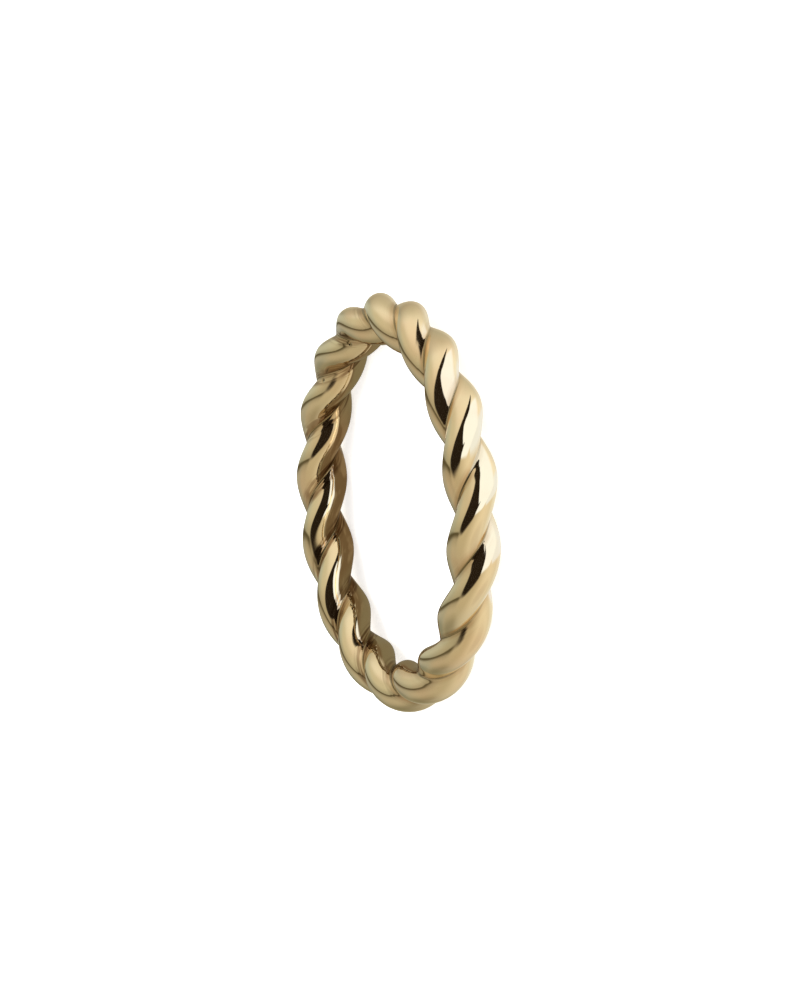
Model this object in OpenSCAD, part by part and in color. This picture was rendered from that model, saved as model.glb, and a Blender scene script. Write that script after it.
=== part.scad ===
// Rope twist ring: two round strands of gold, turned about each other like the
// strands of a rope and closed into one fused band with no seam. The ring lies
// on its side: its axis is the Z axis, and it rests on Z = 0 on the strands'
// lowest crests. Lengths are in millimetres.

/* [Fit] */
// Inside diameter of the ring, measured across the strands' inner crests
finger_d = 17.3; // [14:0.1:23]

/* [Strands] */
// Diameter of each of the two strands
strand_d = 1.94; // [1.4:0.02:3]
// Distance between the centres of the two strands, which overlap where it is smaller than their diameter
strand_spacing = 0.94; // [0.6:0.02:1.2]
// Radius of the rounded bottom of the groove between the strands
groove_r = 0.2; // [0.1:0.02:0.4]

/* [Twist] */
// Whole turns of the strands about each other on their way round the finger
twist_turns = 8; // [4:1:12]
// Way in which the strands lean, as on a rope
twist_hand = "right"; // [right, left]

/* [Smoothness] */
// Flat steps round the whole band, shared out evenly over the half turns of the strands
band_steps = 192; // [96:32:192]
// Flat steps over the round back of each strand
strand_steps = 12; // [8:2:12]
// Flat steps across each groove
groove_steps = 2; // [2:1:3]

/* [Hidden] */

// The strands' radius, and how far each strand's centre lies from the middle of the band
strand_r = strand_d / 2;
strand_offset = strand_spacing / 2;

// Thickness of the round envelope that the turning strands fill, and the circle that its middle follows
band_d = strand_d + strand_spacing;
middle_r = finger_d / 2 + band_d / 2;

// The groove's rounding touches both strands. Its centre lies this far out from
// the middle of the band, and the line to it from a strand's centre leans this much
groove_out = sqrt(pow(strand_r + groove_r, 2) - pow(strand_offset, 2));
groove_lean = atan2(groove_out, strand_offset);

// How far a strand's back reaches round its centre, to each side of its crest
back_reach = 180 - groove_lean;

// Each half turn takes an even number of steps, so that every crest has a station of its own
half_turns = 2 * twist_turns;
half_turn_steps = 2 * round(band_steps / half_turns / 2);
stations = half_turns * half_turn_steps;
twist_sense = twist_hand == "right" ? -1 : 1;

// Colour of polished pale yellow gold
gold = [0.86, 0.74, 0.52];

// One strand's back, from groove to groove, in the section across the band:
// x points away from the finger and y along the ring's axis before any twist
function strand_back() = [
    for (i = [0 : strand_steps])
        let (turn = -back_reach + 2 * back_reach * i / strand_steps)
        [strand_offset + strand_r * cos(turn), strand_r * sin(turn)]
];

// The hollow of the groove that follows it, without the ends that it shares with the strands
function groove_floor() = [
    for (i = [1 : groove_steps - 1])
        let (turn = -groove_lean - (180 - 2 * groove_lean) * i / groove_steps)
        [groove_r * cos(turn), groove_out + groove_r * sin(turn)]
];

// The whole section is one strand and one groove, and the same again half a turn on
function half_section() = concat(strand_back(), groove_floor());
function section() = concat(half_section(), [for (p = half_section()) -p]);

// The section's points where the band has come this far round the finger
function station_points(outline, round_angle) =
    let (twist = twist_sense * twist_turns * round_angle)
    [for (p = outline)
        let (out = middle_r + p.x * cos(twist) - p.y * sin(twist))
        let (up = band_d / 2 + p.x * sin(twist) + p.y * cos(twist))
        [out * cos(round_angle), out * sin(round_angle), up]
    ];

// Two triangles for each step along the band and across the section. The last
// station joins the first, because the strands have made whole turns by then
function skin(count) = [
    for (i = [0 : stations - 1], j = [0 : count - 1])
        let (here = i * count, there = ((i + 1) % stations) * count, next = (j + 1) % count)
        each [
            [here + j, here + next, there + next],
            [here + j, there + next, there + j]
        ]
];

// The two strands, fused all the way round
module twisted_band() {
    outline = section();
    points = [
        for (i = [0 : stations - 1])
            each station_points(outline, 360 * i / stations)
    ];
    color(gold) polyhedron(points = points, faces = skin(len(outline)), convexity = 6);
}

twisted_band();
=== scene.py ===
# %% [markdown]
# # A rope twist ring
#
# This lesson dresses a measured model of a gold ring. Two round strands are turned about each
# other like the strands of a rope, and closed into one fused band. The measured model already
# has the right size and place, so it is loaded first and nothing in it is ever moved. What is
# made here is a smoother skin of the same shape, its gold, a floor, and the light that gold needs.

# %% Load the measured model
import math

import bmesh
import bpy
from mathutils import Matrix, Vector


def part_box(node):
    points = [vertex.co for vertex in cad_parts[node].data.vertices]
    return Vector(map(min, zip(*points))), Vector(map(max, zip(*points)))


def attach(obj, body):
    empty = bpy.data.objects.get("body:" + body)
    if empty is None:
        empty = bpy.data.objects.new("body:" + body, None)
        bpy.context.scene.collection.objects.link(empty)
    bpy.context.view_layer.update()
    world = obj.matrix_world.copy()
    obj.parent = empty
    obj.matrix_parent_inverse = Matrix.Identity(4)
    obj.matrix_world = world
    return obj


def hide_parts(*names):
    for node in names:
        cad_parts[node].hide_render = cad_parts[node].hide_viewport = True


MM = 0.001
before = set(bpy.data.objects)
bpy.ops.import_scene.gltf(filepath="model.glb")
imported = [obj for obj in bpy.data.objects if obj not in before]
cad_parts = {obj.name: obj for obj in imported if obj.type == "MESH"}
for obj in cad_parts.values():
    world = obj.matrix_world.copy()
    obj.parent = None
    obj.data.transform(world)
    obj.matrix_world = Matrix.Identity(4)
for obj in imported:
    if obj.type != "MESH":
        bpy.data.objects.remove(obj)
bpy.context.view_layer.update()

# %% [markdown]
# ## The sizes that drive the shape
#
# The thickness of the band and the circle that its middle follows come from the box of the
# measured model. Only the strand's own diameter has to be named: the strands overlap, and what
# is left of the band's thickness is the distance between their centres.

# %% Take the sizes from the model's box
BAND_NODE = "twisted_band"
STRAND_D = 1.94 * MM
GROOVE_R = 0.2 * MM
TWIST_TURNS = 8

band_low, band_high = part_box(BAND_NODE)
band_d = band_high.z - band_low.z
outer_r = (band_high.x - band_low.x) / 2
middle_r = outer_r - band_d / 2
strand_r = STRAND_D / 2
strand_offset = (band_d - STRAND_D) / 2
middle = Vector((middle_r, 0, band_low.z + band_d / 2))
print("band", round(band_d / MM, 3), "mm thick, round a circle of radius", round(middle_r / MM, 3))

# %% [markdown]
# ## The outline across the band
#
# A cut across the band shows two overlapping circles with a small rounding in each groove. The
# rounding touches both circles, which settles how far out its centre lies, and how far each
# strand's back and each groove's floor turn.

# %% Angles of the outline
groove_out = math.sqrt((strand_r + GROOVE_R) ** 2 - strand_offset ** 2)
groove_lean = math.atan2(groove_out, strand_offset)
back_turn = 2 * (math.pi - groove_lean)
groove_turn = math.pi - 2 * groove_lean
print("a strand's back turns", round(math.degrees(back_turn)), "degrees, and")
print("a groove's floor turns", round(math.degrees(groove_turn)), "degrees the other way")

# %% [markdown]
# ## Spin the outline
#
# Such an outline needs no list of points. One vertex starts beside a groove and is spun round the
# first strand's centre, then round the centre of the groove's rounding, and then the same again
# for the second strand, which brings it back to where it began.

# %% Spin one vertex into the outline
STRAND_STEPS = 34
GROOVE_STEPS = 6
ALONG_BAND = (0, -1, 0)
SAME_PLACE = MM / 1000


def arc(bm, vertex, centre, angle, steps):
    """Draws an arc of edges from a vertex, and gives the vertex at its other end."""
    spun = bmesh.ops.spin(
        bm, geom=[vertex], cent=centre, axis=ALONG_BAND, angle=angle, steps=steps,
        use_merge=False, use_duplicate=False,
    )
    return next(item for item in spun["geom_last"] if isinstance(item, bmesh.types.BMVert))


def outline(bm):
    """Draws the closed outline round the middle of the band."""
    side = Vector((strand_offset, 0, 0))
    up = Vector((0, 0, groove_out))
    lowest = Matrix.Rotation(back_turn / 2, 3, (0, 1, 0)) @ Vector((strand_r, 0, 0))
    vertex = bm.verts.new(middle + side + lowest)
    for way in (1, -1):
        vertex = arc(bm, vertex, middle + way * side, back_turn, STRAND_STEPS)
        vertex = arc(bm, vertex, middle + way * up, -groove_turn, GROOVE_STEPS)
    bmesh.ops.remove_doubles(bm, verts=bm.verts[:], dist=SAME_PLACE)


band = bmesh.new()
outline(band)
print("outline:", len(band.verts), "points and", len(band.edges), "edges")

# %% [markdown]
# ## Spin a short length of the band
#
# After half a turn the two strands have changed places, and the band looks as it did before. So
# only a sixteenth of the ring has to be made. The outline is spun that far round the ring's axis,
# and its points are sorted into the cuts across the band that they lie in.

# %% Spin a sixteenth of the band
HALF_TURNS = 2 * TWIST_TURNS
STEPS_PER_HALF_TURN = 72
length_angle = 2 * math.pi / HALF_TURNS
step_angle = length_angle / STEPS_PER_HALF_TURN


def way_round(point):
    """How far round the finger a point lies, as an angle from 0 to a whole turn."""
    return math.atan2(point.y, point.x) % (2 * math.pi)


bmesh.ops.spin(
    band, geom=band.verts[:] + band.edges[:], cent=(0, 0, 0), axis=(0, 0, 1),
    angle=length_angle, steps=STEPS_PER_HALF_TURN, use_merge=False, use_duplicate=False,
)
cuts = [[] for _ in range(STEPS_PER_HALF_TURN + 1)]
for vertex in band.verts:
    just_past = vertex.co + Vector((0, SAME_PLACE, 0))
    cuts[round(way_round(just_past) / step_angle)].append(vertex)
print("one length:", len(cuts), "cuts of", len(cuts[0]), "points")

# %% [markdown]
# ## Twist it
#
# Each cut is turned about the middle of the band, a little further than the one before it.
# Turning about the way that the band runs, by the right hand's rule, makes the strands lean as on
# the real ring.

# %% Turn each cut about the middle of the band
for step, cut in enumerate(cuts):
    to_cut = Matrix.Rotation(step * step_angle, 3, "Z")
    along = to_cut @ Vector((0, 1, 0))
    twist = Matrix.Rotation(TWIST_TURNS * step * step_angle, 3, along)
    bmesh.ops.rotate(band, verts=cut, cent=to_cut @ middle, matrix=twist)
print("the last cut is turned by", round(math.degrees(TWIST_TURNS * length_angle)), "degrees")

# %% [markdown]
# ## Sixteen lengths make the ring
#
# Spinning with copies sets fifteen more lengths round the axis. Their ends lie on each other, so
# merging what lies in one place welds them into a single closed skin with no seam.

# %% Copy the length round the finger and weld it
bmesh.ops.spin(
    band, geom=band.verts[:] + band.edges[:] + band.faces[:], cent=(0, 0, 0), axis=(0, 0, 1),
    angle=2 * math.pi - length_angle, steps=HALF_TURNS - 1, use_merge=False, use_duplicate=True,
)
bmesh.ops.remove_doubles(band, verts=band.verts[:], dist=SAME_PLACE)
bmesh.ops.recalc_face_normals(band, faces=band.faces[:])
loose_ends = [edge for edge in band.edges if len(edge.link_faces) != 2]
print("whole band:", len(band.verts), "points,", len(band.faces), "faces,", len(loose_ends), "open edges")

# %% [markdown]
# ## Where a point lies on the strands
#
# The finish has to know where a point lies: how far round the ring, how far across the strands,
# and how far from the middle of the band. All three come from the point's own place, once the
# twist has been taken off again. The two layers that will keep them are added first, because a
# new layer makes a bmesh forget the points that a script has noted down.

# %% Read a point's place on the strands
groove_depth = band.verts.layers.float.new("groove_depth")
strand_map = band.loops.layers.uv.new("strand_map")


def place_on_strands(point):
    """The way along the strands and across them, each from 0 to 1, and the reach from the middle."""
    out = math.hypot(point.x, point.y) - middle.x
    up = point.z - middle.z
    untwisted = math.atan2(up, out) + TWIST_TURNS * way_round(point)
    across = (untwisted - math.pi / 2) / (2 * math.pi) % 1
    return way_round(point) / (2 * math.pi), across, math.hypot(out, up)


places = {vertex: place_on_strands(vertex.co) for vertex in band.verts}
reaches = [reach for _, _, reach in places.values()]
print("the skin lies", round(min(reaches) / MM, 2), "to", round(max(reaches) / MM, 2), "mm from the middle")

# %% [markdown]
# ## Write it on the mesh
#
# The float layer keeps the depth in the groove, from 0 on a crest to 1 on a groove's floor. The
# UV map keeps the two ways over the surface. Round a ring such a map must close somewhere. A face
# there is written whole, past the end of the map, so that no face is stretched back over it all.
# Across the strands the map closes on a groove's floor, where it hardly shows.

# %% Note the groove's depth and the way along the strands
crest_out = band_d / 2
groove_floor_out = groove_out - GROOVE_R


def beside(value, other):
    """The same place on a circle of length 1, written within half of another place."""
    return value - round(value - other)


for vertex, (_, _, reach) in places.items():
    vertex[groove_depth] = (crest_out - reach) / (crest_out - groove_floor_out)

for face in band.faces:
    first_u, first_v, _ = places[face.verts[0]]
    for loop in face.loops:
        u, v, _ = places[loop.vert]
        loop[strand_map].uv = (beside(u, first_u), beside(v, first_v))
    face.smooth = True
print("the deepest point is", round(max(vertex[groove_depth] for vertex in band.verts), 2), "deep")

# %% [markdown]
# ## A piece of the scene
#
# So far the band is only a mesh in memory. It becomes an object at the origin, with its place in
# its mesh. It rides on the ring's one body, and the measured band is hidden in its place.

# %% Make the band an object of the scene
def as_object(bm, name):
    """Turns a bmesh into an object of the scene."""
    mesh = bpy.data.meshes.new(name)
    bm.to_mesh(mesh)
    bm.free()
    made = bpy.data.objects.new(name, mesh)
    bpy.context.scene.collection.objects.link(made)
    return made


rope_band = as_object(band, "rope_band")
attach(rope_band, "root")
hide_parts(BAND_NODE)
print("rope_band has", len(rope_band.data.polygons) * 2, "triangles")

# %% [markdown]
# ## Where the photo is taken from
#
# The photo looks at the ring from 24 degrees above its plane, but with the ring's axis lying
# across the picture. The ring lies flat here, so it is the camera that is rolled over by about a
# quarter turn. The three directions below serve twice: for the camera, and later for the light.

# %% Directions of the view
VIEW_AZIMUTH = math.radians(2.04)
VIEW_ELEVATION = math.radians(23.9)
VIEW_ROLL = math.radians(95.02)

towards_camera = Vector((
    math.cos(VIEW_AZIMUTH) * math.cos(VIEW_ELEVATION),
    math.sin(VIEW_AZIMUTH) * math.cos(VIEW_ELEVATION),
    math.sin(VIEW_ELEVATION),
))
roll = Matrix.Rotation(-VIEW_ROLL, 3, "Z").to_quaternion()
view_turn = towards_camera.to_track_quat("Z", "Y") @ roll
view_right = view_turn @ Vector((1, 0, 0))
view_up = view_turn @ Vector((0, 1, 0))
print("the camera looks from", [round(part, 2) for part in towards_camera])

# %% [markdown]
# ## The camera
#
# The distance gives the photo's slight perspective, and the lens the ring's size in the photo.
# Both are worked out from the radius of the band's middle circle, in metres and in pixels. The
# camera then aims a little beside the ring, so that the ring sits where the photo has it.

# %% Set up the camera
IMAGE_W = 800
IMAGE_H = 1000
MIDDLE_R_PX = 184.2
DISTANCE_IN_MIDDLE_R = 22.22
RING_PX = (394.75, 502.78)
CLIP_START = 5 * MM
CLIP_END = 5


def photo_camera():
    """A camera that puts the ring where the photo has it."""
    px = middle_r / MIDDLE_R_PX
    aim = Vector((0, 0, middle.z))
    aim += view_right * (IMAGE_W / 2 - RING_PX[0]) * px
    aim += view_up * (RING_PX[1] - IMAGE_H / 2) * px
    data = bpy.data.cameras.new("photo_camera")
    data.lens = data.sensor_width * MIDDLE_R_PX * DISTANCE_IN_MIDDLE_R / IMAGE_H
    data.clip_start = CLIP_START
    data.clip_end = CLIP_END
    camera = bpy.data.objects.new("photo_camera", data)
    bpy.context.scene.collection.objects.link(camera)
    camera.rotation_mode = "QUATERNION"
    camera.rotation_quaternion = view_turn
    camera.location = aim + towards_camera * middle_r * DISTANCE_IN_MIDDLE_R
    return camera


camera = photo_camera()
bpy.context.scene.camera = camera
bpy.context.scene.view_settings.view_transform = "Standard"
print("camera", round(camera.location.length / MM), "mm away, lens", round(camera.data.lens, 1), "mm")

# %% [markdown]
# ## Small helpers for shader nodes
#
# Every finish from here on is a tree of shader nodes. They could be laid out in the node editor,
# but in a script a few short helpers read better. The first one fills a socket, and the next
# three do a sum, measure a vector and take a place apart.

# %% Fill a socket, do a sum, measure a vector, take a place apart
def feed(tree, socket, value):
    """Links a socket to another node's output, or sets it to a plain value."""
    if isinstance(value, bpy.types.NodeSocket):
        tree.links.new(value, socket)
    else:
        socket.default_value = value


def calculate(tree, operation, *values):
    """Adds a Math node that works on numbers or outputs, and gives its result."""
    node = tree.nodes.new("ShaderNodeMath")
    node.operation = operation
    for socket, value in zip(node.inputs, values):
        feed(tree, socket, value)
    return node.outputs["Value"]


def measure(tree, operation, vector, fixed=(0, 0, 0)):
    """Adds a Vector Math node that sets a vector against a fixed one, and gives its number."""
    node = tree.nodes.new("ShaderNodeVectorMath")
    node.operation = operation
    tree.links.new(vector, node.inputs[0])
    node.inputs[1].default_value = fixed
    return node.outputs["Value"]


def parts_of(tree, place):
    """The X, Y and Z of a place, as three outputs."""
    parts = tree.nodes.new("ShaderNodeSeparateXYZ")
    tree.links.new(place, parts.inputs[0])
    return parts.outputs


print("helpers for nodes: feed, calculate, measure and parts_of")

# %% [markdown]
# ## Rising smoothly, and blending
#
# A mask is a number from 0 to 1 that says how much of something lies at a place. Most masks here
# rise smoothly between two values, and most colours go from one to another by such a mask.

# %% Rise smoothly, and blend colours
def ramp(tree, value, low, high, start=0.0, end=1.0):
    """Rises smoothly from start to end while a value goes from low to high."""
    node = tree.nodes.new("ShaderNodeMapRange")
    node.interpolation_type = "SMOOTHSTEP"
    feed(tree, node.inputs["Value"], value)
    feed(tree, node.inputs["From Min"], low)
    feed(tree, node.inputs["From Max"], high)
    feed(tree, node.inputs["To Min"], start)
    feed(tree, node.inputs["To Max"], end)
    return node.outputs["Result"]


def blend(tree, factor, first, second, blend_type="MIX"):
    """Goes from the first colour towards the second as the factor goes from 0 to 1."""
    node = tree.nodes.new("ShaderNodeMix")
    node.data_type = "RGBA"
    node.blend_type = blend_type
    factor_in, _, _, _, _, _, first_in, second_in = node.inputs[:8]
    feed(tree, factor_in, factor)
    feed(tree, first_in, first)
    feed(tree, second_in, second)
    return node.outputs[2]


print("helpers for masks and colours: ramp and blend")

# %% [markdown]
# ## The surface of polished gold
#
# A hand-polished ring isn't a perfect mirror, and the faults of the mirror are what makes it look
# like metal. They could be sculpted or painted, but here each kind is one noise texture that
# raises or lowers the surface, at its own scale and with its height as a real length. The first
# two cover the whole ring. The casting and the polishing wheel leave broad, shallow waves, which
# bend the edges of every reflection, and fine dimples break those edges up.

# %% Waves and dimples
WAVE_LENGTH = 2.2 * MM
WAVE_HEIGHT = 0.010 * MM
DIMPLE_LENGTH = 0.5 * MM
DIMPLE_HEIGHT = 0.0009 * MM


def noise(tree, vector, scale, detail=1.0):
    """Smooth random values round 0.5, on features about one over the scale in size."""
    node = tree.nodes.new("ShaderNodeTexNoise")
    tree.links.new(vector, node.inputs["Vector"])
    node.inputs["Scale"].default_value = scale
    node.inputs["Detail"].default_value = detail
    return node.outputs["Fac"]


def waves(tree, place):
    """Broad, shallow waves all over the ring."""
    return calculate(tree, "MULTIPLY", noise(tree, place, 1 / WAVE_LENGTH), WAVE_HEIGHT)


def dimples(tree, place):
    """Fine dimples all over the ring."""
    return calculate(tree, "MULTIPLY", noise(tree, place, 1 / DIMPLE_LENGTH, detail=2.0), DIMPLE_HEIGHT)


print("waves are", round(WAVE_LENGTH / WAVE_HEIGHT), "times as long as they are high")
print("dimples are", round(DIMPLE_LENGTH / DIMPLE_HEIGHT), "times as long as they are high")

# %% [markdown]
# ## Lines that follow the strands
#
# The wheel runs along the strands, so the hair-fine lines that it leaves do too. A texture that
# follows the surface needs coordinates that do, and the UV map has them. The way round the ring
# is laid on a circle, so that its end meets its start and no line stops where the map closes.

# %% Lines that the wheel leaves
LINE_LENGTH = 3 * MM
LINE_WIDTH = 0.06 * MM
LINE_HEIGHT = 0.00009 * MM
way_across = 2 * (back_turn * strand_r + groove_turn * GROOVE_R)


def along_the_strands(tree, length, width):
    """A place that follows the strands, on which a length of them and a width across are each 1."""
    uv = tree.nodes.new("ShaderNodeUVMap")
    uv.uv_map = "strand_map"
    round_ring, across, _ = parts_of(tree, uv.outputs["UV"])
    angle = calculate(tree, "MULTIPLY", round_ring, 2 * math.pi)
    circle_r = middle_r / length
    place = tree.nodes.new("ShaderNodeCombineXYZ")
    for axis, operation in (("X", "COSINE"), ("Y", "SINE")):
        share = calculate(tree, operation, angle)
        feed(tree, place.inputs[axis], calculate(tree, "MULTIPLY", share, circle_r))
    feed(tree, place.inputs["Z"], calculate(tree, "MULTIPLY", across, way_across / width))
    return place.outputs["Vector"]


def polishing_lines(tree):
    """Hair-fine lines along the strands."""
    wheel = along_the_strands(tree, LINE_LENGTH, LINE_WIDTH)
    return calculate(tree, "MULTIPLY", noise(tree, wheel, 1.0, detail=2.0), LINE_HEIGHT)


print("the way across both strands is", round(way_across / MM, 2), "mm long")

# %% [markdown]
# ## Lumps in the grooves
#
# The wheel can't reach down between the strands. The skin of the casting is left there, in low
# lumps that follow the strands and make the reflections beside a groove ragged. A mask says where
# that is: it rises between two depths in a groove, in some places more than in others. The photo
# shows the roughest grooves on the far half of the ring, so the lumps are higher there.

# %% Lumps in the grooves
PATCHY_FROM = 0.35
PATCHY_TO = 0.6
LEAST_SHARE = 0.4
LUMP_LENGTH = 1.8 * MM
LUMP_WIDTH = 0.30 * MM
LUMP_HEIGHT = 0.015 * MM
LUMP_DEPTHS = (0.55, 0.9)
ROUGH_FROM_X = 2 * MM
ROUGH_FULL_X = -5 * MM
ROUGHER = 2.4


def groove_mask(tree, place, depths):
    """Rises from 0 to 1 between two depths in a groove, in some places more than in others."""
    depth = tree.nodes.new("ShaderNodeAttribute")
    depth.attribute_name = "groove_depth"
    deep = ramp(tree, depth.outputs["Fac"], *depths)
    patches = noise(tree, place, 1 / WAVE_LENGTH, detail=2.0)
    uneven = ramp(tree, patches, PATCHY_FROM, PATCHY_TO, LEAST_SHARE, 1.0)
    return calculate(tree, "MULTIPLY", deep, uneven)


def on_far_half(tree, place, near_value, far_value):
    """Goes from one value to another towards the far half of the ring."""
    x, _, _ = parts_of(tree, place)
    return ramp(tree, x, ROUGH_FROM_X, ROUGH_FULL_X, near_value, far_value)


def lumps(tree, place):
    """Low lumps in the grooves, higher on the far half."""
    cast = noise(tree, along_the_strands(tree, LUMP_LENGTH, LUMP_WIDTH), 1.0)
    height = on_far_half(tree, place, LUMP_HEIGHT, ROUGHER * LUMP_HEIGHT)
    height = calculate(tree, "MULTIPLY", height, groove_mask(tree, place, LUMP_DEPTHS))
    return calculate(tree, "MULTIPLY", cast, height)


print("lumps are up to", round(ROUGHER * LUMP_HEIGHT / MM, 3), "mm high")

# %% [markdown]
# ## Two pits
#
# Gas in the molten metal has left two small pits on the far half. Each is a spot round a fixed
# place on the strands, and its mask serves twice: it lowers the surface here, and it darkens the
# gold later, since dirt stays in a pit.

# %% Pits
PITS_MM = [(-6.65, 6.93, 2.33), (-2.96, 8.87, 2.09)]
PIT_R = 0.16 * MM
PIT_DEPTH = 0.04 * MM


def sum_of(tree, values):
    """The sum of several outputs."""
    total = values[0]
    for value in values[1:]:
        total = calculate(tree, "ADD", total, value)
    return total


def pit_mask(tree, place):
    """1 at the centre of a pit, 0 round it."""
    return sum_of(tree, [
        ramp(tree, measure(tree, "DISTANCE", place, Vector(spot) * MM), PIT_R, 0.0)
        for spot in PITS_MM
    ])


def pits(tree, place):
    """Minus the depth of the pits."""
    return calculate(tree, "MULTIPLY", pit_mask(tree, place), -PIT_DEPTH)


print(len(PITS_MM), "pits,", round(2 * PIT_R / MM, 2), "mm across and", round(PIT_DEPTH / MM, 2), "mm deep")

# %% [markdown]
# ## One height from five
#
# A Bump node takes a single height, so the five kinds are added up. With a distance of 1 it reads
# that height as metres.

# %% Add the heights up
def unevenness(tree, place):
    """The height of the gold's surface above a perfect one, in metres."""
    return sum_of(tree, [
        waves(tree, place),
        dimples(tree, place),
        polishing_lines(tree),
        lumps(tree, place),
        pits(tree, place),
    ])


def bumpy_normal(tree, place):
    """The normal of the uneven surface."""
    bump = tree.nodes.new("ShaderNodeBump")
    bump.inputs["Distance"].default_value = 1
    feed(tree, bump.inputs["Height"], unevenness(tree, place))
    return bump.outputs["Normal"]


highest = WAVE_HEIGHT + DIMPLE_HEIGHT + LINE_HEIGHT + ROUGHER * LUMP_HEIGHT
print("the surface rises by", round(highest / MM, 3), "mm at most")

# %% [markdown]
# ## The colour of the gold
#
# Pale yellow gold shows what it mirrors, tinted by its own colour, and for a metal that tint is
# the Base Color. It turns a little rosier here and there. Beside the grooves a painted shade turns
# it a warm brown, where shade falls down between the strands. Browner streaks run along the
# strands where polishing paste has stayed, most of them on the far half. On a groove's very floor,
# and in the pits, lies dark tarnish.

# %% Tints, painted groove shade, streaks and tarnish
GOLD = (0.93, 0.79, 0.53, 1)
GOLD_ROSY = (0.93, 0.74, 0.49, 1)
PATCH_LENGTH = 2.6 * MM
ROSY_FROM = 0.42
ROSY_TO = 0.66
GROOVE_SHADE = (0.72, 0.53, 0.32, 1)
GROOVE_SHADE_DEPTHS = (0.68, 0.92)
STREAK_BROWN = (0.33, 0.20, 0.10, 1)
STREAK_LENGTH = 1.2 * MM
STREAK_WIDTH = 0.2 * MM
STREAK_FROM = 0.36
STREAK_TO = 0.56
STREAK_DEPTHS = (0.42, 0.72)
STREAK_STRENGTH = 1.0
STREAK_STRENGTH_NEAR = 0.08
TARNISH = (0.34, 0.26, 0.13, 1)
TARNISH_DEPTHS = (0.93, 1.0)


def streaks(tree, place):
    """Thin marks that run along the strands beside the grooves."""
    fine = noise(tree, along_the_strands(tree, STREAK_LENGTH, STREAK_WIDTH), 1.0)
    strength = on_far_half(tree, place, STREAK_STRENGTH_NEAR, STREAK_STRENGTH)
    strength = calculate(tree, "MULTIPLY", strength, groove_mask(tree, place, STREAK_DEPTHS))
    return calculate(tree, "MULTIPLY", ramp(tree, fine, STREAK_FROM, STREAK_TO), strength)


def gold_tint_and_groove_shade(tree, place):
    """The tint of the gold, with painted shade beside its grooves, and the streaks and tarnish there."""
    patches = ramp(tree, noise(tree, place, 1 / PATCH_LENGTH, detail=3.0), ROSY_FROM, ROSY_TO)
    colour = blend(tree, patches, GOLD, GOLD_ROSY)
    # Painted shade: the gold goes warm brown beside the grooves, where shade falls between the strands.
    colour = blend(tree, groove_mask(tree, place, GROOVE_SHADE_DEPTHS), colour, GROOVE_SHADE)
    colour = blend(tree, streaks(tree, place), colour, STREAK_BROWN)
    for tarnished in (groove_mask(tree, place, TARNISH_DEPTHS), pit_mask(tree, place)):
        colour = blend(tree, tarnished, colour, TARNISH)
    return colour


print("tints and their depths:", GROOVE_SHADE[:3], GROOVE_SHADE_DEPTHS, TARNISH[:3], TARNISH_DEPTHS)

# %% [markdown]
# ## The band seen in itself
#
# The strands mirror each other and the inside of the band across the finger hole. The photo shows
# that inside dim on the far half, which lies in shade, and cream at the near end, where light
# comes in past the ring. So much bouncing of light would take a long render to come out right,
# and so the material says it. The masks follow the ring's own radius and X axis. The Light Path
# node, which stays in the material itself, keeps them to mirrored views.

# %% Masks for the inside of the band
INSIDE_FROM_R = middle_r + 0.3 * MM
INSIDE_FULL_R = middle_r - 0.5 * MM
SHADED_FROM_X = 7 * MM
SHADED_FULL_X = 2 * MM
SHADED_INSIDE = (0.5, 0.46, 0.42, 1)
LIT_FROM_X = 6.5 * MM
LIT_FULL_X = 8 * MM
LIT_INSIDE = (0.80, 0.74, 0.62, 1)
NO_LIGHT = (0, 0, 0, 1)


def inside_of_band(tree, place):
    """How much of the inside's shaded part and of its lit part lies at a place."""
    x, y, _ = parts_of(tree, place)
    squares = [calculate(tree, "POWER", side, 2.0) for side in (x, y)]
    reach = calculate(tree, "SQRT", calculate(tree, "ADD", *squares))
    inside = ramp(tree, reach, INSIDE_FROM_R, INSIDE_FULL_R)
    shaded = calculate(tree, "MULTIPLY", inside, ramp(tree, x, SHADED_FROM_X, SHADED_FULL_X))
    lit = calculate(tree, "MULTIPLY", inside, ramp(tree, x, LIT_FROM_X, LIT_FULL_X))
    return shaded, lit


print("the inside starts", round((INSIDE_FROM_R - middle_r) / MM, 1), "mm outside the middle circle")

# %% [markdown]
# ## The gold itself
#
# All of it meets in one Principled BSDF. Metallic is the same everywhere, so it is set on its
# socket. The gloss wanders between bright and slightly satin, and the tarnish is dull.

# %% The gold material
GLOSS_BEST = 0.045
GLOSS_WORST = 0.085
GLOSS_FROM = 0.3
GLOSS_TO = 0.7
TARNISH_DULLNESS = 0.26


def roughness_of_gold(tree, place):
    """Roughness that wanders a little, and rises in the tarnish."""
    patches = noise(tree, place, 1 / PATCH_LENGTH, detail=4.0)
    gloss = ramp(tree, patches, GLOSS_FROM, GLOSS_TO, GLOSS_BEST, GLOSS_WORST)
    tarnish = groove_mask(tree, place, TARNISH_DEPTHS)
    return calculate(tree, "ADD", gloss, calculate(tree, "MULTIPLY", tarnish, TARNISH_DULLNESS))


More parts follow.
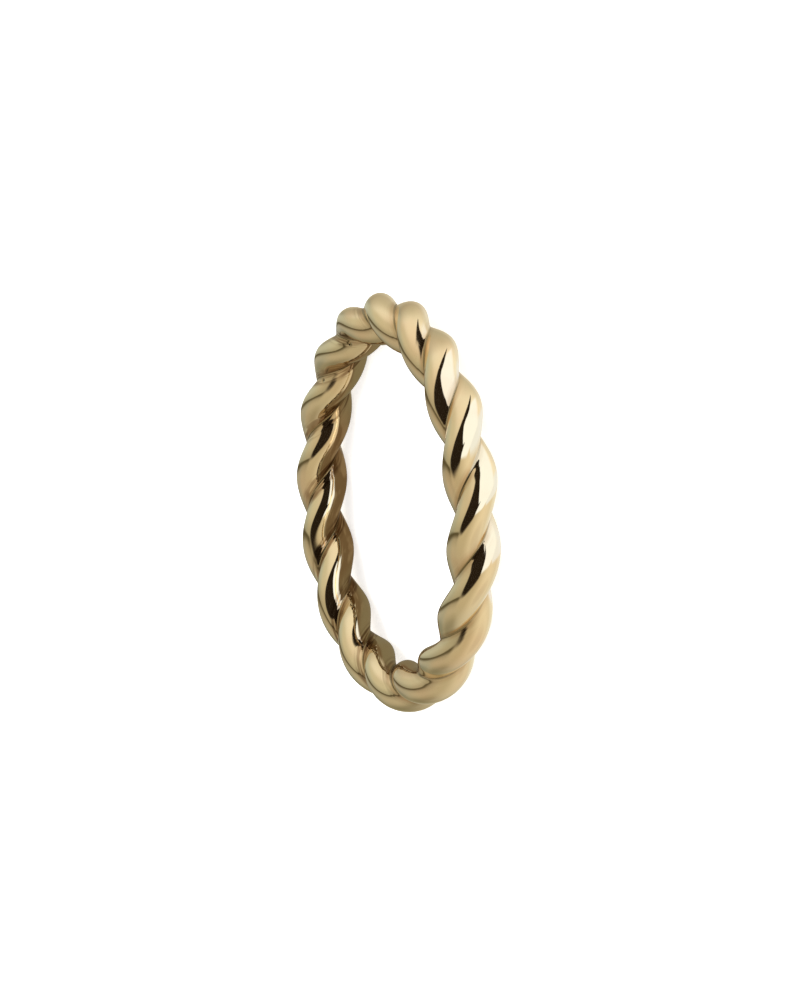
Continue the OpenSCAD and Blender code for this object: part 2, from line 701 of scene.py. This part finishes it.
def gold_material():
    """Polished pale yellow gold."""
    material = bpy.data.materials.new("polished_gold")
    material.use_nodes = True
    tree = material.node_tree
    shader = tree.nodes["Principled BSDF"]
    shader.inputs["Metallic"].default_value = 1
    shader.inputs["Emission Strength"].default_value = 1
    place = tree.nodes.new("ShaderNodeTexCoord").outputs["Object"]
    path = tree.nodes.new("ShaderNodeLightPath")
    shaded, lit = [
        calculate(tree, "MULTIPLY", mask, path.outputs["Is Glossy Ray"])
        for mask in inside_of_band(tree, place)
    ]
    tint = blend(tree, shaded, gold_tint_and_groove_shade(tree, place), SHADED_INSIDE, "MULTIPLY")
    feed(tree, shader.inputs["Base Color"], tint)
    feed(tree, shader.inputs["Emission Color"], blend(tree, lit, NO_LIGHT, LIT_INSIDE))
    feed(tree, shader.inputs["Roughness"], roughness_of_gold(tree, place))
    feed(tree, shader.inputs["Normal"], bumpy_normal(tree, place))
    return material


rope_band.data.materials.append(gold_material())
print("gold:", len(rope_band.data.materials[0].node_tree.nodes), "nodes")

# %% [markdown]
# ## The ring's shade on the floor
#
# Gold mirrors the floor too, and there one thing matters. The floor under the far side of the
# band lies in the ring's own shade, and shows in the gold as a dim brownish band, greener towards
# its ends. So much light comes from all sides here that no lamp would draw it clearly. It is
# drawn as half of a flat ring with soft edges, and a noise texture frays its inner one.

# %% Shade of the band's far side
SHADE_OUTER_R = 10.5 * MM
SHADE_INNER_R = 4.2 * MM
SHADE_SOFT = 0.8 * MM
SHADE_FRAY = 1.0 * MM
SHADE = (0.16, 0.11, 0.06, 1)
SHADE_LIGHTER = (0.24, 0.18, 0.11, 1)
LIGHTER_FROM = 0.3
SHADE_GREEN = (0.22, 0.19, 0.12, 1)
GREEN_FROM = 3 * MM
GREEN_TO = 6 * MM


def shade_share(tree, place, mottle):
    """How much of the shade lies at a place of the floor."""
    out = measure(tree, "LENGTH", place)
    frayed = calculate(tree, "MULTIPLY_ADD", mottle, -SHADE_FRAY, out)
    outer = ramp(tree, out, SHADE_OUTER_R + SHADE_SOFT, SHADE_OUTER_R - SHADE_SOFT)
    inner = ramp(tree, frayed, SHADE_INNER_R - SHADE_SOFT, SHADE_INNER_R + SHADE_SOFT)
    x, _, _ = parts_of(tree, place)
    far_side = ramp(tree, x, SHADE_SOFT, -SHADE_SOFT)
    return calculate(tree, "MULTIPLY", calculate(tree, "MULTIPLY", outer, inner), far_side)


def shade_colour(tree, place, mottle):
    """Brown, lighter here and there, and greener towards both ends."""
    colour = blend(tree, ramp(tree, mottle, LIGHTER_FROM, 1.0), SHADE, SHADE_LIGHTER)
    _, y, _ = parts_of(tree, place)
    sideways = calculate(tree, "ABSOLUTE", y)
    return blend(tree, ramp(tree, sideways, GREEN_FROM, GREEN_TO), colour, SHADE_GREEN)


print("the shade reaches from", round(SHADE_INNER_R / MM, 1), "to", round(SHADE_OUTER_R / MM, 1), "mm")

# %% [markdown]
# ## The floor
#
# The ring lies on a plain pale floor. To the camera it is matt, and a little light of its own
# keeps the ring's soft shadow as faint as it is in the photo. In mirrored views the floor is
# clear but for the ring's shade, so that the light tent shows there as it does in the real gold.
# The Light Path node tells the two kinds of view apart.

# %% The floor's material
FLOOR_PALE = (0.93, 0.93, 0.93, 1)
FLOOR_ROUGHNESS = 0.8
FLOOR_SPECULAR = 0.2
FLOOR_GLOW = 0.62
WHITE = (1, 1, 1, 1)
MOTTLE_LENGTH = 2.6 * MM
MOTTLE_FROM = 0.4
MOTTLE_TO = 0.65


def either_shader(tree, factor, first, second):
    """Shows the first shader where the factor is 0, and the second where it is 1."""
    mix = tree.nodes.new("ShaderNodeMixShader")
    feed(tree, mix.inputs[0], factor)
    tree.links.new(first.outputs[0], mix.inputs[1])
    tree.links.new(second.outputs[0], mix.inputs[2])
    return mix


def pale_surface(shader):
    """Sets a Principled BSDF to the floor's pale, matt finish."""
    shader.inputs["Base Color"].default_value = FLOOR_PALE
    shader.inputs["Roughness"].default_value = FLOOR_ROUGHNESS
    shader.inputs["Specular IOR Level"].default_value = FLOOR_SPECULAR
    shader.inputs["Emission Color"].default_value = WHITE
    shader.inputs["Emission Strength"].default_value = FLOOR_GLOW
    return shader


def floor_material():
    """A pale matt floor, of which only the ring's own shade shows in the gold."""
    material = bpy.data.materials.new("pale_floor")
    material.use_nodes = True
    tree = material.node_tree
    pale = pale_surface(tree.nodes["Principled BSDF"])
    place = tree.nodes.new("ShaderNodeTexCoord").outputs["Object"]
    mottle = noise(tree, place, 1 / MOTTLE_LENGTH, detail=3.0)
    mottle = ramp(tree, mottle, MOTTLE_FROM, MOTTLE_TO)
    clear = tree.nodes.new("ShaderNodeBsdfTransparent")
    shade = tree.nodes.new("ShaderNodeEmission")
    feed(tree, shade.inputs["Color"], shade_colour(tree, place, mottle))
    mirrored = either_shader(tree, shade_share(tree, place, mottle), clear, shade)
    path = tree.nodes.new("ShaderNodeLightPath")
    seen = either_shader(tree, path.outputs["Is Glossy Ray"], pale, mirrored)
    tree.links.new(seen.outputs[0], tree.nodes["Material Output"].inputs["Surface"])
    return material


pale_floor = floor_material()
print("floor:", len(pale_floor.node_tree.nodes), "nodes")

# %% [markdown]
# ## Lay the floor
#
# One large square at the height that the ring lies on is enough.

# %% Lay the floor
FLOOR_HALF = 2.0

floor_bm = bmesh.new()
bmesh.ops.create_grid(floor_bm, x_segments=1, y_segments=1, size=FLOOR_HALF)
floor = as_object(floor_bm, "floor")
floor.data.materials.append(pale_floor)
print("floor:", 2 * FLOOR_HALF, "m wide")

# %% [markdown]
# ## Directions in the light tent
#
# Jewellery is photographed in a light tent, and what the gold mirrors is that tent, so the tent
# is made with the same care as the ring. It's the world of the scene: it stays where it is when
# the view changes. Places in it are written as degrees to the right of the photo's camera and
# degrees above it, with 180 right behind the ring.

# %% Directions as degrees right and up
def world_direction(right, up):
    """The direction that lies so many degrees right of the photo's camera and above it."""
    angle = math.hypot(right, up)
    sideways = (view_right * right + view_up * up) / angle
    turn = math.radians(angle)
    return sideways * math.sin(turn) + towards_camera * math.cos(turn)


def share_along(tree, vector, direction):
    """How far a vector reaches along a fixed direction."""
    return measure(tree, "DOT_PRODUCT", vector, direction)


print("90 degrees to the right is", [round(part, 2) for part in world_direction(90, 0)])

# %% [markdown]
# ## The same with nodes
#
# The world's nodes get a direction and have to turn it into those two degrees. The angle from the
# camera's own direction is the length of the result, and the parts along the picture's right and
# up give its way. The sine of that angle is never quite 0 here, so nothing is divided by 0.

# %% The two degrees of a direction
A_LITTLE_OVER_1 = 1.00001


def degrees_right_and_up(tree, direction):
    """The two degrees of a direction that nodes give, as two outputs."""
    ahead = share_along(tree, direction, towards_camera)
    angle = calculate(tree, "DEGREES", calculate(tree, "ARCCOSINE", ahead))
    squared = calculate(tree, "MULTIPLY", ahead, ahead)
    sine = calculate(tree, "SQRT", calculate(tree, "SUBTRACT", A_LITTLE_OVER_1, squared))
    stretch = calculate(tree, "DIVIDE", angle, sine)
    return [
        calculate(tree, "MULTIPLY", share_along(tree, direction, side), stretch)
        for side in (view_right, view_up)
    ]


right_side, upper_side = [[round(part, 2) for part in side] for side in (view_right, view_up)]
print("right in the picture is", right_side, "and up is", upper_side)

# %% [markdown]
# ## Patches in the light tent
#
# A patch of the tent is a mask with soft edges. Its corners go round clockwise, and each of its
# edges cuts away what lies outside, so a patch is always convex. A dented shape is one patch
# less another.

# %% Masks for patches
def right_of(tree, place, start, end, soft):
    """1 on the right of the line from start to end, 0 on its left."""
    along = Vector(end) - Vector(start)
    normal = Vector((along.y, -along.x)).normalized()
    right, up = place
    reach = calculate(
        tree, "ADD",
        calculate(tree, "MULTIPLY", right, normal.x),
        calculate(tree, "MULTIPLY", up, normal.y),
    )
    edge = normal.dot(Vector(start))
    return ramp(tree, reach, edge - soft, edge + soft)


def all_of(tree, masks):
    """The overlap of several masks."""
    overlap = masks[0]
    for mask in masks[1:]:
        overlap = calculate(tree, "MULTIPLY", overlap, mask)
    return overlap


def patch(tree, place, corners, soft):
    """1 inside a patch whose corners go round clockwise. One softness, or one for each edge."""
    softness = soft if isinstance(soft, list) else [soft] * len(corners)
    ends = corners[1:] + corners[:1]
    return all_of(tree, [
        right_of(tree, place, start, end, edge_soft)
        for start, end, edge_soft in zip(corners, ends, softness)
    ])


print("helpers for the tent: right_of, all_of and patch")

# %% [markdown]
# ## The tent's cloth
#
# The cloth is warm and unevenly lit. Lamps behind it make it glow above the ring and to the
# right, and it is dim in other places. Each glow adds light and each shade takes light away, most
# at its centre and less towards its reach, so a few of them model the whole cloth. A row says
# where the centre lies, how many degrees it reaches, and how much it changes the colour.

# %% Glows and shades on the cloth
CLOTH = (0.56, 0.49, 0.35, 1)
GLOWS = {
    "above": ((2, 98), 97, (0.40, 0.41, 0.42, 1)),
    "right": ((93, -19), 103, (0.33, 0.31, 0.29, 1)),
    "far right": ((143, 3), 42, (0.14, 0.18, 0.22, 1)),
    "behind": ((166, 45), 38, (0.20, 0.18, 0.14, 1)),
}
SHADES = {
    "high up": ((2, 140), 54, (0.27, 0.29, 0.32, 1)),
    "low down": ((-50, -142), 36, (0.13, 0.13, 0.14, 1)),
    "low in front": ((-58, -92), 26, (0.07, 0.07, 0.07, 1)),
    "under the near side": ((-40, -113), 26, (0.07, 0.065, 0.05, 1)),
    "low on the right": ((50, -60), 26, (0.12, 0.12, 0.10, 1)),
    "low at the back": ((-72, -160), 137, (0.15, 0.10, 0.04, 1)),
}


def cloth(tree, direction):
    """The colour of the tent's cloth in a direction."""
    colour = CLOTH
    for spots, blend_type in ((GLOWS, "ADD"), (SHADES, "SUBTRACT")):
        for centre, reach, change in spots.values():
            near = share_along(tree, direction, world_direction(*centre))
            mask = ramp(tree, near, math.cos(math.radians(reach)), 1.0)
            colour = blend(tree, mask, colour, change, blend_type)
    return colour


print("cloth:", len(GLOWS), "glows and", len(SHADES), "shades")

# %% [markdown]
# ## The seam in the cloth
#
# Thin dark lines with a soft shade beside them cross the left flanks of the strands in the photo.
# They are all one seam of the tent, seen in each strand. It leaves the opening for the lens and
# rises to the left, and the cloth is lighter above it than below it.

# %% Cloth on both sides of the seam
SEAM_START = (-68, -22)
SEAM_RISE = 0.4
LEFT_FROM = -40
LEFT_FULL = -80
LEFT_STRENGTH = 0.85
ABOVE_SEAM = (0.63, 0.60, 0.46, 1)
ABOVE_EDGE = (-3, 6)
ABOVE_END = (105, 65)
BELOW_SEAM = (0.51, 0.455, 0.345, 1)
BELOW_EDGE = (3, -8)
BELOW_END = (-75, -35)
FAR_LEFT_FROM = -85
FAR_LEFT_FULL = -120
FAR_LEFT_TINT = (0.86, 0.94, 1.02, 1)


def over_seam(tree, place):
    """How many degrees a place lies above the seam."""
    right, up = place
    left = calculate(tree, "SUBTRACT", SEAM_START[0], right)
    seam_up = calculate(tree, "MULTIPLY_ADD", left, SEAM_RISE, SEAM_START[1])
    return calculate(tree, "SUBTRACT", up, seam_up)


def left_side(tree, place, colour):
    """The cloth on the left, lighter above the seam, browner below it and greener far round."""
    over = over_seam(tree, place)
    left = ramp(tree, place[0], LEFT_FROM, LEFT_FULL, 0.0, LEFT_STRENGTH)
    for edge, end, side in (
        (ABOVE_EDGE, ABOVE_END, ABOVE_SEAM),
        (BELOW_EDGE, BELOW_END, BELOW_SEAM),
    ):
        mask = all_of(tree, [left, ramp(tree, over, *edge), ramp(tree, over, *end)])
        colour = blend(tree, mask, colour, side)
    far_left = ramp(tree, place[0], FAR_LEFT_FROM, FAR_LEFT_FULL)
    return blend(tree, far_left, colour, FAR_LEFT_TINT, "MULTIPLY")


print("the seam rises", round(math.degrees(math.atan(SEAM_RISE))), "degrees to the left")

# %% [markdown]
# ## The seam's own darkness
#
# The seam is a narrow dark core in a wide, weak shade. The two fall off at different rates above
# the line and below it, so each has a reach upwards and one downwards. Far round to the left,
# which shows at the rims of the strands, the core gets wider.

# %% The dark of the seam
SEAM_DARK = (0.09, 0.075, 0.036, 1)
SEAM_FROM = -50
SEAM_FULL = -68
SEAM_SHADE_REACH = (45, 34)
SEAM_SHADE_STRENGTH = 0.36
SEAM_CORE_REACH = (6, 13)
SEAM_CORE_STRENGTH = 0.95
WIDER_FROM = -85
WIDER_FULL = -135
NARROWED = 0.45


def seam(tree, place, colour):
    """Darkens the cloth along the seam."""
    over = over_seam(tree, place)
    narrowing = ramp(tree, place[0], WIDER_FROM, WIDER_FULL, 1.0, NARROWED)
    over_core = calculate(tree, "MULTIPLY", over, narrowing)
    for away, (up_reach, down_reach), strength in (
        (over, SEAM_SHADE_REACH, SEAM_SHADE_STRENGTH),
        (over_core, SEAM_CORE_REACH, SEAM_CORE_STRENGTH),
    ):
        dark = all_of(tree, [
            ramp(tree, place[0], SEAM_FROM, SEAM_FULL, 0.0, strength),
            ramp(tree, away, up_reach, 0.0),
            ramp(tree, away, -down_reach, 0.0),
        ])
        colour = blend(tree, dark, colour, SEAM_DARK)
    return colour


print("the seam's core is", sum(SEAM_CORE_REACH), "degrees wide, its shade", sum(SEAM_SHADE_REACH))

# %% [markdown]
# ## The window
#
# The bright cream flanks of the near strands mirror a large window of light to the right of the
# camera. Its end runs on further round to the right, a little dimmer and with softer edges, and
# reaches the rims of the strands.

# %% Window
WINDOW = [(-8, 10), (-4, 40), (3, 58), (40, 82), (78, 88), (114, -7), (45, -10), (18, -24)]
WINDOW_SOFT = [3, 3, 4, 5, 12, 3, 3, 3]
WINDOW_LIGHT = (1.10, 1.20, 1.38, 1)
WINDOW_END = [(60, 0), (64, 38), (152, 42), (152, -4), (64, -9)]
WINDOW_END_SOFT = [4, 10, 10, 4, 4]
WINDOW_END_LIGHT = (0.96, 1.05, 1.22, 1)


def window(tree, place, colour):
    """Lights the window and its end."""
    end = patch(tree, place, WINDOW_END, WINDOW_END_SOFT)
    colour = blend(tree, end, colour, WINDOW_END_LIGHT)
    return blend(tree, patch(tree, place, WINDOW, WINDOW_SOFT), colour, WINDOW_LIGHT)


print("window:", len(WINDOW), "corners, and its end", len(WINDOW_END))

# %% [markdown]
# ## The opening for the lens
#
# The nearly black stripes on the strands are the opening that the lens looks through, drawn out
# by the strands' curve. Its right edge is dented, which gives the stripes their curved tips, and
# it runs out above into a narrow slit. A small spike at the edge makes the little hook that some
# of the stripes have.

# %% Opening, notch, spike and slit
OPENING = [
    (-63, -6), (-58, 4), (-46, 24), (-33, 38), (-18, 54), (-2, 62), (14, 62),
    (13, -2), (9, -10), (5, -17), (-14, -26), (-42, -34), (-59, -24),
]
OPENING_SOFT = [4, 4, 3, 2.5, 2.5, 1.5, 1.5, 2, 3, 5, 7, 7, 6]
NOTCH = [(-1, 41), (5, 51), (18, 62), (60, 66), (60, 8), (30, 4), (13, 8), (4, 24)]
NOTCH_SOFT = 1.2
SPIKE = [(4, 4), (22, 10), (23, 9), (12, -4)]
SPIKE_SOFT = 0.8
SLIT = [(-14, 58), (-3, 66), (8, 76), (39, 96), (40, 93), (23, 66), (11, 55)]
SLIT_SOFT = 1.0
DARK = (0.019, 0.013, 0.008, 1)


def opening(tree, place, colour):
    """Darkens the opening, its spike and its slit."""
    left_over = calculate(tree, "SUBTRACT", 1.0, patch(tree, place, NOTCH, NOTCH_SOFT))
    dented = calculate(tree, "MULTIPLY", patch(tree, place, OPENING, OPENING_SOFT), left_over)
    spike = patch(tree, place, SPIKE, SPIKE_SOFT)
    slit = patch(tree, place, SLIT, SLIT_SOFT)
    for dark in (dented, spike, slit):
        colour = blend(tree, dark, colour, DARK)
    return colour


print("opening:", len(OPENING), "corners, dented by a notch of", len(NOTCH))

# %% [markdown]
# ## The tent as the scene's world
#
# The parts are laid over each other in order, from the cloth to the opening. Only mirrored views
# see the tent. Everything else gets plain white light from all sides, which keeps the floor white.
# Mixing two Background shaders, and not two colours, lets the renderer skip the tent's many nodes
# wherever it doesn't show.

# %% The tent as the scene's world
def tent_colour(tree, direction):
    """The light that comes from a direction of the tent."""
    place = degrees_right_and_up(tree, direction)
    colour = cloth(tree, direction)
    for part in (left_side, seam, window, opening):
        colour = part(tree, place, colour)
    return colour


def tent_world():
    """The world: the tent in mirrored views, plain white light for everything else."""
    world = bpy.data.worlds.new("light_tent")
    world.use_nodes = True
    tree = world.node_tree
    tree.nodes.clear()
    direction = tree.nodes.new("ShaderNodeTexCoord").outputs["Generated"]
    plain, tent = [tree.nodes.new("ShaderNodeBackground") for _ in range(2)]
    plain.inputs["Color"].default_value = WHITE
    feed(tree, tent.inputs["Color"], tent_colour(tree, direction))
    path = tree.nodes.new("ShaderNodeLightPath")
    seen = either_shader(tree, path.outputs["Is Glossy Ray"], plain, tent)
    output = tree.nodes.new("ShaderNodeOutputWorld")
    tree.links.new(seen.outputs[0], output.inputs["Surface"])
    return world


bpy.context.scene.world = tent_world()
print("tent:", len(bpy.context.scene.world.node_tree.nodes), "nodes")

# %% [markdown]
# ## A soft lamp
#
# One large, soft lamp overhead lifts the floor to a clean pale tone and gives the ring's shadow a
# side. It's hidden from mirrored views, where its disc would show as a bright spot.

# %% Soft lamp
LAMP_PLACE = (-0.1, 0.25, 0.6)
LAMP_D = 0.5
LAMP_WATTS = 1.6


def soft_lamp():
    """A round area lamp that faces the ring."""
    data = bpy.data.lights.new("soft_lamp", "AREA")
    data.shape = "DISK"
    data.size = LAMP_D
    data.energy = LAMP_WATTS
    lamp = bpy.data.objects.new("soft_lamp", data)
    bpy.context.scene.collection.objects.link(lamp)
    lamp.location = LAMP_PLACE
    lamp.rotation_mode = "QUATERNION"
    lamp.rotation_quaternion = Vector(LAMP_PLACE).to_track_quat("Z", "Y")
    lamp.visible_glossy = False
    lamp.visible_camera = False
    return lamp


lamp = soft_lamp()
print("lamp:", LAMP_D, "m across,", round(lamp.location.length, 2), "m away")
